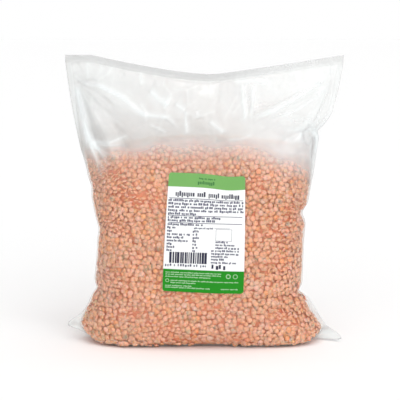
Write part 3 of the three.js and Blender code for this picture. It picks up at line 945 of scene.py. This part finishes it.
# The core's colours, darker and redder than the lentils': painted shade deep between them
CORE_SHADED_DARK = (0.72, 0.24, 0.11)
CORE_SHADED_PALE = (0.88, 0.39, 0.22)
CORE_BLOTCHES = 260.0
# Light goes a little way into a lentil and comes out redder
GLOW_DEPTH = 0.0024
GLOW_REACH = (1.0, 0.55, 0.35)
GLOW_SHARE = 0.9


def group_of(name, inputs, outputs):
    """A shader node group with the given sockets, its input node and its output node."""
    group = bpy.data.node_groups.new(name, "ShaderNodeTree")
    for label, kind, value in inputs:
        socket = group.interface.new_socket(label, in_out="INPUT", socket_type=kind)
        socket.default_value = value
    for label, kind in outputs:
        group.interface.new_socket(label, in_out="OUTPUT", socket_type=kind)
    return group, group.nodes.new("NodeGroupInput"), group.nodes.new("NodeGroupOutput")


# Mottling, for a dry natural surface: blends two colours by soft blotches and gives their height
mottling, given, result = group_of(
    "mottling",
    [("Dark", "NodeSocketColor", (0.5, 0.2, 0.1, 1)),
     ("Pale", "NodeSocketColor", (0.8, 0.4, 0.3, 1)),
     ("Tone", "NodeSocketFloat", 0.5), ("Blotch Scale", "NodeSocketFloat", 500.0)],
    [("Colour", "NodeSocketColor"), ("Height", "NodeSocketFloat")],
)
place = add_node(mottling, "ShaderNodeTexCoord").outputs["Object"]
blotch = add_node(
    mottling, "ShaderNodeTexNoise", Vector=place, Scale=given.outputs["Blotch Scale"], Detail=3.0
).outputs["Fac"]
BLOTCH_STRENGTH = 0.7
blotched = math(mottling, "MULTIPLY", math(mottling, "SUBTRACT", blotch, 0.5), BLOTCH_STRENGTH)
mixed = math(mottling, "ADD", given.outputs["Tone"], blotched, clamped=True)
colour = add_node(
    mottling, "ShaderNodeMix", {"data_type": "RGBA"}, i0=mixed, i6=given.outputs["Dark"],
    i7=given.outputs["Pale"],
).outputs[2]
mottling.links.new(colour, result.inputs["Colour"])
mottling.links.new(blotch, result.inputs["Height"])


def lentil_material(name, dark, pale, blotch_scale):
    material, tree = new_material(name)
    tone = add_node(tree, "ShaderNodeAttribute", {"attribute_name": "tone"}).outputs["Fac"]
    skin = add_node(
        tree, "ShaderNodeGroup", {"node_tree": mottling}, Dark=(*dark, 1), Pale=(*pale, 1),
        Tone=tone, Blotch_Scale=blotch_scale,
    )
    bump = add_node(
        tree, "ShaderNodeBump", Strength=0.3, Distance=0.0003, Height=skin.outputs["Height"]
    )
    body = add_node(
        tree, "ShaderNodeBsdfPrincipled", Base_Color=skin.outputs["Colour"], Roughness=0.5,
        Subsurface_Weight=GLOW_SHARE, Subsurface_Radius=GLOW_REACH, Subsurface_Scale=GLOW_DEPTH,
        Normal=bump.outputs["Normal"],
    )
    add_node(tree, "ShaderNodeOutputMaterial", Surface=body.outputs[0])
    return material


outer_kinds, deep_kinds = (
    draw.choice(len(LENTIL_KINDS), len(lentil_points), p=[row[column] for row in LENTIL_KINDS])
    for column in (1, 2)
)
# The inner layers take the deeper shares, redder as painted shade between the outer lentils
kind_of = np.where(deeper, deep_kinds, outer_kinds)
for number, (kind, _, _, dark, pale) in enumerate(LENTIL_KINDS):
    chosen = kind_of == number
    points = lentil_points[chosen]
    count = len(points)
    faces = LENTIL_FACES[None] + np.arange(count)[:, None, None] * len(LENTIL_FORM)
    turned_over = lentil_tall[chosen] < 0
    faces[turned_over] = faces[turned_over][:, :, ::-1]
    tone = np.repeat(draw.uniform(*LENTIL_TONES, count), len(LENTIL_FORM))
    lentils = piece_from(
        f"lentils_{kind}", points.reshape(-1, 3), faces.reshape(-1, 3), {"tone": tone}
    )
    its_material = lentil_material(f"lentil_{kind}", dark, pale, LENTIL_BLOTCHES)
    lentils.data.materials.append(its_material)
    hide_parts("bag")

# The core's darker, redder colours are painted shade
core.data.materials.append(lentil_material("lentil_core_painted_shade", CORE_SHADED_DARK, CORE_SHADED_PALE, CORE_BLOTCHES))

# The label
# A paper sticker with round corners, laid on the front by hand, so it leans a little. It follows
# the film. Its print is a light green head, a dark green foot, and grey and dark strokes.
LABEL_WIDTH = 104.4
LABEL_HEIGHT = 152
LABEL_DRAWN_IN = 7
LABEL_CORNER = 3.6
LABEL_MIDDLE = (0.8, 154.4)
LABEL_TURN = np.radians(-2.1)
LABEL_TAPER = 1.6
# Where the paper's upper edge sags: along, half width, how far, and over what height
LABEL_SAG = (29, 22, 2.6)
LABEL_SAG_HEIGHTS = (25, 62)
LABEL_LIFT = 0.35
PAPER_THICKNESS = 0.15


def film_front(x, height):
    """The film's front without its creases, for the label to lie on."""
    left, right = sides_at(height)[:2]
    across = np.clip((x - (left + right) / 2) / ((right - left) / 2), -1, 1)
    depth = body_depth(across, height, FRONT)
    relief = swells(x, height, FRONT) + fold_relief(FRONT_FOLDS, x, height)
    return -(depth + relief * ease(*FOLDING_HEIGHTS, height))


def on_label(along, up, lift):
    """Points on the label, from millimetres right of and above its middle."""
    middle, half, reach = LABEL_SAG
    sag = reach * np.exp(-(((along - middle) / half) ** 2))
    up = up - sag * ease(*LABEL_SAG_HEIGHTS, up)
    x = LABEL_MIDDLE[0] + along * np.cos(LABEL_TURN) - up * np.sin(LABEL_TURN)
    height = LABEL_MIDDLE[1] + along * np.sin(LABEL_TURN) + up * np.cos(LABEL_TURN)
    return np.stack([x, film_front(x, height) - lift, height], -1)


def label_reach(up):
    """Half the label's width at a height on it."""
    into_corner = np.maximum(0, np.abs(up) - (LABEL_HEIGHT / 2 - LABEL_CORNER))
    rounding = LABEL_CORNER - np.sqrt(np.maximum(0, LABEL_CORNER**2 - into_corner**2))
    drawn_in = LABEL_DRAWN_IN * (up / LABEL_HEIGHT + 0.5) ** LABEL_TAPER
    return LABEL_WIDTH / 2 - drawn_in / 2 - rounding


# How far apart the print's and the paper's points are, and how many rows bend round a corner
COLUMN_PITCH = 3
ROW_PITCH = 3
BAR_ROW_PITCH = 2
CORNER_ROWS = 7


def slab(rows, lift, thickness):
    """A thin closed slab on the label, from rows of (up, left, right), lowest first."""
    rows = np.array(rows, float)
    columns = max(2, int(np.ptp(rows[:, 1:], axis=1).max() / COLUMN_PITCH) + 2)
    share = np.linspace(0, 1, columns)
    along = rows[:, 1:2] + (rows[:, 2:3] - rows[:, 1:2]) * share
    up = np.repeat(rows[:, :1], columns, 1)
    return closed_loft(on_label(along, up, lift + thickness), on_label(along, up, lift))


def joined(parts):
    """Many parts' vertices and faces as those of one mesh."""
    points, faces, start = [], [], 0
    for part_points, part_faces in parts:
        points.append(part_points)
        faces.append(part_faces + start)
        start += len(part_points)
    return np.concatenate(points), np.concatenate(faces)


def full_rows(low, high, inset=0.0):
    """Rows across the whole label between two heights, close together round its corners."""
    straight = LABEL_HEIGHT / 2 - LABEL_CORNER
    bend = straight + LABEL_CORNER * np.sin(np.linspace(0, np.pi / 2, CORNER_ROWS))
    heights = np.concatenate([np.arange(-straight, straight, ROW_PITCH), bend, -bend, [low, high]])
    heights = np.unique(np.clip(heights, low, high).round(4))
    reach = label_reach(heights) - inset
    return np.stack([heights, -reach, reach], 1)


LABEL_TOP = LABEL_HEIGHT / 2
paper = piece_from(
    "label_paper", *slab(full_rows(-LABEL_TOP, LABEL_TOP), LABEL_LIFT, PAPER_THICKNESS)
)
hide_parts("label")

# Ink lies on the paper with a hair of air between, and print on a coloured ground lies on that
INK_GAP = 0.02
INK_THICKNESS = 0.03
INK_LIFT = LABEL_LIFT + PAPER_THICKNESS + INK_GAP
INK_INSET = 0.05
HEAD_HEIGHT = 17.5
FOOT_HEIGHT = 29.3
head_rows = full_rows(LABEL_TOP - HEAD_HEIGHT, LABEL_TOP, INK_INSET)
head = piece_from("label_head", *slab(head_rows, INK_LIFT, INK_THICKNESS))
foot_rows = full_rows(-LABEL_TOP, FOOT_HEIGHT - LABEL_TOP, INK_INSET)
foot = piece_from("label_foot", *slab(foot_rows, INK_LIFT, INK_THICKNESS))


def bar(left, down, width, height):
    """A printed bar: its left end and top, measured from the label's upper left corner."""
    ups = LABEL_HEIGHT / 2 - down - np.linspace(height, 0, 2 + int(height / BAR_ROW_PITCH))
    start = left - LABEL_WIDTH / 2
    return slab([(up, start, start + width) for up in ups], INK_LIFT, INK_THICKNESS)


# Strokes in place of letters, in shares of the line's height: where a small one starts, how tall
# it is, how wide, how unevenly wide, and how far some rise above or drop below the small ones
LETTER_START = 0.22
LETTER_HEIGHT = 0.66
LETTER_WEIGHT = 0.55
LETTER_WIDTHS = (0.7, 1.3)
LETTER_RISES = [(0, 0), (0, 0), (0.25, 0), (0, 0.2)]
LETTER_GAP = 0.11
WORD_GAP = 0.4
# The least room for one more stroke, as a share of the height, and for one more word
ROOM_FOR_A_LETTER = 0.3
ROOM_FOR_A_WORD = 1
LONGEST_WORD = 9.0
SHORTEST_SHARE = 0.25


def word(left, down, width, height, draw, weight=LETTER_WEIGHT):
    """Short upright strokes in place of a word's letters."""
    strokes, at = [], left
    while at + height * ROOM_FOR_A_LETTER < left + width:
        wide = height * weight * draw.uniform(*LETTER_WIDTHS)
        rise, drop = draw.choice(LETTER_RISES)
        top = down + height * (LETTER_START - rise)
        strokes.append(bar(at, top, wide, height * (LETTER_HEIGHT + rise + drop)))
        at += wide + height * LETTER_GAP
    return strokes


def line_of_words(left, down, width, height, draw, longest=LONGEST_WORD):
    """A line of words of random lengths, no longer than the given one."""
    strokes, at = [], left
    while at < left + width - ROOM_FOR_A_WORD:
        reach = min(draw.uniform(SHORTEST_SHARE, 1) * longest, left + width - at)
        strokes += word(at, down, reach, height, draw)
        at += reach + height * WORD_GAP
    return strokes


def block_of_lines(block, draw):
    """Lines of words under each other, each with its own width."""
    left, down, pitch, height, longest, widths = block
    strokes = []
    for line, width in enumerate(widths):
        strokes += line_of_words(left, down + pitch * line, width, height, draw, longest)
    return strokes


def frame_of(left, down, width, height, line):
    """Four bars round an empty frame."""
    return [
        bar(left, down, width, line),
        bar(left, down + height - line, width, line),
        bar(left, down + line, line, height - 2 * line),
        bar(left + width - line, down + line, line, height - 2 * line),
    ]


# Bold words: down from the label's top, height, weight, and each word's left end and width
TITLE = 23, 7, 0.26, [(12.8, 27), (40.8, 13), (55, 14.6), (71.6, 23)]
WEIGHT_WORDS = 115, 5.8, 0.44, [(62, 2.6), (67.6, 5.6), (77, 2.4)]
# Rules and the frame: left, down, width, height, and the frame's line
RULES = [(4.6, 31.6, 94.5, 0.8), (4.6, 53.4, 94.5, 0.8), (4.6, 62.4, 94.5, 0.8)]
SHORT_RULE = (64, 68.4, 20, 0.4)
EMPTY_FRAME = (66, 69.6, 20.5, 15, 0.35)
# Blocks of lines: left, down, pitch, height, longest word, and the lines' widths
UPPER_BLOCKS = [
    (4, 33, 4.2, 3.3, LONGEST_WORD, (95, 96, 95, 96, 37)),
    (4, 54.4, 4, 3.2, LONGEST_WORD, (68, 60)), (4, 63.4, 0, 3.1, LONGEST_WORD, (45,)),
    (38, 68, 0, 2.2, LONGEST_WORD, (24,)),
]
LOWER_BLOCKS = [
    (66, 84.6, 3.7, 2.8, 7, (15, 24, 31)), (61, 95.8, 3.7, 2.8, 7, (35, 36, 21)),
    (61, 106.8, 0, 2.9, 10, (16,)), (61, 111, 0, 2.7, 10, (33,)),
]
DIGITS_BLOCK = (2.5, 115.6, 0, 3.4, 2.2, (54,))
# A table: left, down, pitch and height of its names, their widths, and the short numbers beside
# all but the first: left, height, range of widths, longest word
TABLE_NAMES = 3.6, 67.5, 4.15, 3.2, (12, 6, 31, 23, 27, 8, 11, 6)
TABLE_NUMBERS = 36.5, 3.1, (6, 9), 5
# The barcode: left, right, down, height, and the widths of its bars and gaps
BARCODE = 7.5, 56, 100.2, 14.4
BAR_WIDTHS = (1.3, 2.1, 3.1)
BAR_GAPS = (0.4, 0.7, 1.1)


def bold_line(line, draw):
    down, height, weight, places = line
    return sum((word(left, down, width, height, draw, weight) for left, width in places), [])


def table_of_words(draw):
    left, down, pitch, height, widths = TABLE_NAMES
    numbers_left, numbers_height, numbers_widths, longest = TABLE_NUMBERS
    strokes = []
    for row, width in enumerate(widths):
        at = down + pitch * row
        strokes += line_of_words(left, at, width, height, draw)
        if row > 0:
            reach = draw.uniform(*numbers_widths)
            strokes += line_of_words(numbers_left, at, reach, numbers_height, draw, longest)
    return strokes


def barcode(draw):
    at, right, down, height = BARCODE
    bars = []
    while at < right:
        width = draw.choice(BAR_WIDTHS)
        bars.append(bar(at, down, width, height))
        at += width + draw.choice(BAR_GAPS)
    return bars


def raised(parts):
    """Print that lies on a coloured ground."""
    return [(points + (0, -INK_THICKNESS - INK_GAP, 0), faces) for points, faces in parts]


ink = np.random.default_rng(8)
bold_parts = bold_line(TITLE, ink)
print_parts = [bar(*rule) for rule in RULES]
for block in UPPER_BLOCKS:
    print_parts += block_of_lines(block, ink)
print_parts.append(bar(*SHORT_RULE))
print_parts += table_of_words(ink)
print_parts += frame_of(*EMPTY_FRAME)
for block in LOWER_BLOCKS:
    print_parts += block_of_lines(block, ink)
bold_parts += bold_line(WEIGHT_WORDS, ink)
bold_parts += barcode(ink)
print_parts += block_of_lines(DIGITS_BLOCK, ink)
words = piece_from("label_words", *joined(print_parts))
bold_words = piece_from("label_bold_words", *joined(bold_parts))

HEAD_LINE = (42, 5.0, 0, 2.4, 12, (21,))
HEAD_TITLE = 9.0, 4.8, 0.34, [(40.6, 22)]
head_parts = block_of_lines(HEAD_LINE, ink)
head_parts += bold_line(HEAD_TITLE, ink)
head_words = piece_from("label_head_words", *joined(raised(head_parts)))

RING_SIDES = 24


def ring(left, down, radius, line):
    """A plain printed ring."""
    turns = np.linspace(0, 2 * np.pi, RING_SIDES + 1)[:-1]
    middle = (left - LABEL_WIDTH / 2, LABEL_HEIGHT / 2 - down)
    edges = []
    for reach in (radius - line, radius):
        for lift in (INK_LIFT, INK_LIFT + 2 * INK_THICKNESS + INK_GAP):
            edges.append(on_label(
                middle[0] + reach * np.cos(turns), middle[1] + reach * np.sin(turns), lift
            ))
    count = len(turns)
    here = np.arange(count)
    ahead = (here + 1) % count
    walk = [(2, 3), (3, 1), (1, 0), (0, 2)]
    faces = [
        np.stack([a * count + here, a * count + ahead, b * count + ahead, b * count + here], 1)
        for a, b in walk
    ]
    return np.concatenate(edges), np.concatenate(faces)


# The foot's lines, down from its own top: left, down, width
FOOT_LINES = [
    (3.4, 3.2, 73), (3.4, 5.9, 71), (3.4, 8.8, 58), (10.2, 13.8, 87), (10.2, 16.7, 33),
    (3.4, 20.6, 34), (3.4, 23, 58), (75, 23, 23),
]
FOOT_LINE_HEIGHT = 1.7
FOOT_LONGEST_WORD = 7
# The foot's rings: left, down, radius, line
FOOT_RINGS = [(84, 7, 3.1, 1.1), (93, 7, 3.1, 0.8), (6, 15, 2.4, 0.7)]
foot_top = LABEL_HEIGHT - FOOT_HEIGHT
foot_parts = []
for left, down, width in FOOT_LINES:
    foot_parts += line_of_words(
        left, foot_top + down, width, FOOT_LINE_HEIGHT, ink, FOOT_LONGEST_WORD
    )
foot_parts = raised(foot_parts)
for left, down, radius, line in FOOT_RINGS:
    foot_parts.append(ring(left, foot_top + down, radius, line))
foot_words = piece_from("label_foot_words", *joined(foot_parts))

# Printed paper, for the label's white and its inks: a smooth coated sheet with a faint fibre
fibre, given, result = group_of(
    "paper_fibre",
    [("Colour", "NodeSocketColor", (1, 1, 1, 1)), ("Unevenness", "NodeSocketFloat", 0.06)],
    [("Colour", "NodeSocketColor"), ("Height", "NodeSocketFloat")],
)
place = add_node(fibre, "ShaderNodeTexCoord").outputs["Object"]
grain = add_node(fibre, "ShaderNodeTexNoise", Vector=place, Scale=900.0, Detail=4.0).outputs["Fac"]
shade = math(fibre, "MULTIPLY", math(fibre, "SUBTRACT", grain, 0.5), given.outputs["Unevenness"])
bright = math(fibre, "ADD", shade, 1.0)
colour = add_node(
    fibre, "ShaderNodeMix", {"data_type": "RGBA", "blend_type": "MULTIPLY"}, i0=1.0,
    i6=given.outputs["Colour"],
)
shade_colour = add_node(fibre, "ShaderNodeCombineColor", i0=bright, i1=bright, i2=bright)
fibre.links.new(shade_colour.outputs[0], colour.inputs[7])
fibre.links.new(colour.outputs[2], result.inputs["Colour"])
fibre.links.new(grain, result.inputs["Height"])


def printed(piece, name, colour, roughness, shine=0.5):
    """Gives a piece a paper or ink material, with flat shading for its sharp edges."""
    material, tree = new_material(name)
    sheet = add_node(tree, "ShaderNodeGroup", {"node_tree": fibre}, Colour=(*colour, 1))
    bump = add_node(
        tree, "ShaderNodeBump", Strength=0.08, Distance=0.0002, Height=sheet.outputs["Height"]
    )
    body = add_node(
        tree, "ShaderNodeBsdfPrincipled", Base_Color=sheet.outputs["Colour"], Roughness=roughness,
        Specular_IOR_Level=shine, Normal=bump.outputs["Normal"],
    )
    add_node(tree, "ShaderNodeOutputMaterial", Surface=body.outputs[0])
    piece.data.materials.append(material)
    piece.data.polygons.foreach_set("use_smooth", np.zeros(len(piece.data.polygons), bool))


printed(paper, "label_white", (0.84, 0.85, 0.85), 0.5)
printed(head, "label_light_green", (0.148, 0.38, 0.088), 0.4)
printed(foot, "label_dark_green", (0.010, 0.24, 0.008), 0.4, 0.2)
printed(words, "label_grey_ink", (0.09, 0.09, 0.145), 0.5, 0.3)
printed(bold_words, "label_dark_ink", (0.02, 0.02, 0.05), 0.5, 0.3)
printed(head_words, "label_green_ink", (0.03, 0.17, 0.03), 0.5)
printed(foot_words, "label_reversed_print", (0.36, 0.56, 0.34), 0.5)

# The studio
# A white table in even light from all round, as for a cut-out picture, with a broad key light at
# the front right, weaker ones at the left and low in front, one above, and a small one for gloss.
# The camera is in front of the bag, a little above its middle. Sizes are in metres.
TABLE_SIZE = 40
TABLE_BEHIND = 12
bpy.ops.mesh.primitive_plane_add(size=TABLE_SIZE, location=(0, TABLE_BEHIND, 0))
table = bpy.context.object
table.name = "table"
table_material, tree = new_material("white_table")
board = add_node(
    tree, "ShaderNodeBsdfPrincipled", Base_Color=(0.97, 0.97, 0.97, 1), Roughness=0.8
)
add_node(tree, "ShaderNodeOutputMaterial", Surface=board.outputs[0])
table.data.materials.append(table_material)

world = bpy.data.worlds.new("white_room")
bpy.context.scene.world = world
world.use_nodes = True
world.node_tree.nodes.clear()
seen = add_node(world.node_tree, "ShaderNodeLightPath").outputs["Is Camera Ray"]
backdrop = add_node(world.node_tree, "ShaderNodeBackground", Color=(1, 1, 1, 1), Strength=1.0)
room = add_node(world.node_tree, "ShaderNodeBackground", Color=(1, 1, 1, 1), Strength=0.48)
both = add_node(
    world.node_tree, "ShaderNodeMixShader", i0=seen, i1=room.outputs[0], i2=backdrop.outputs[0]
)
add_node(world.node_tree, "ShaderNodeOutputWorld", Surface=both.outputs[0])

# Lamps: name, the way to it, how strong, how many degrees wide
LAMPS = [
    ("key", (0.8, -1.1, 0.9), 0.72, 50),
    ("fill", (-0.5, -1.2, 0.5), 0.48, 75),
    ("front", (0.1, -1.2, 0.16), 0.62, 90),
    ("overhead", (0.1, -0.1, 1.0), 1.02, 60),
    ("glint", (0.5, -0.6, 1.6), 0.12, 9),
]
for name, way, strength, spread in LAMPS:
    lamp = bpy.data.lights.new(name, "SUN")
    lamp.energy = strength
    lamp.angle = np.radians(spread)
    holder = bpy.data.objects.new(name, lamp)
    holder.rotation_euler = Vector(way).to_track_quat("Z", "Y").to_euler()
    bpy.context.collection.objects.link(holder)

CAMERA_ELEVATION = np.radians(9)
CAMERA_DISTANCE = 1.457
CAMERA_AIM = (-0.0055, 0, 0.19)
CAMERA_LENS = 99.4
camera = bpy.data.objects.new("camera", bpy.data.cameras.new("camera"))
camera.data.lens = CAMERA_LENS
camera.location = (
    CAMERA_AIM[0],
    -CAMERA_DISTANCE * np.cos(CAMERA_ELEVATION),
    CAMERA_AIM[2] + CAMERA_DISTANCE * np.sin(CAMERA_ELEVATION),
)
camera.rotation_euler = (np.pi / 2 - CAMERA_ELEVATION, 0, 0)
bpy.context.collection.objects.link(camera)
bpy.context.scene.camera = camera
bpy.context.scene.view_settings.view_transform = "Standard"
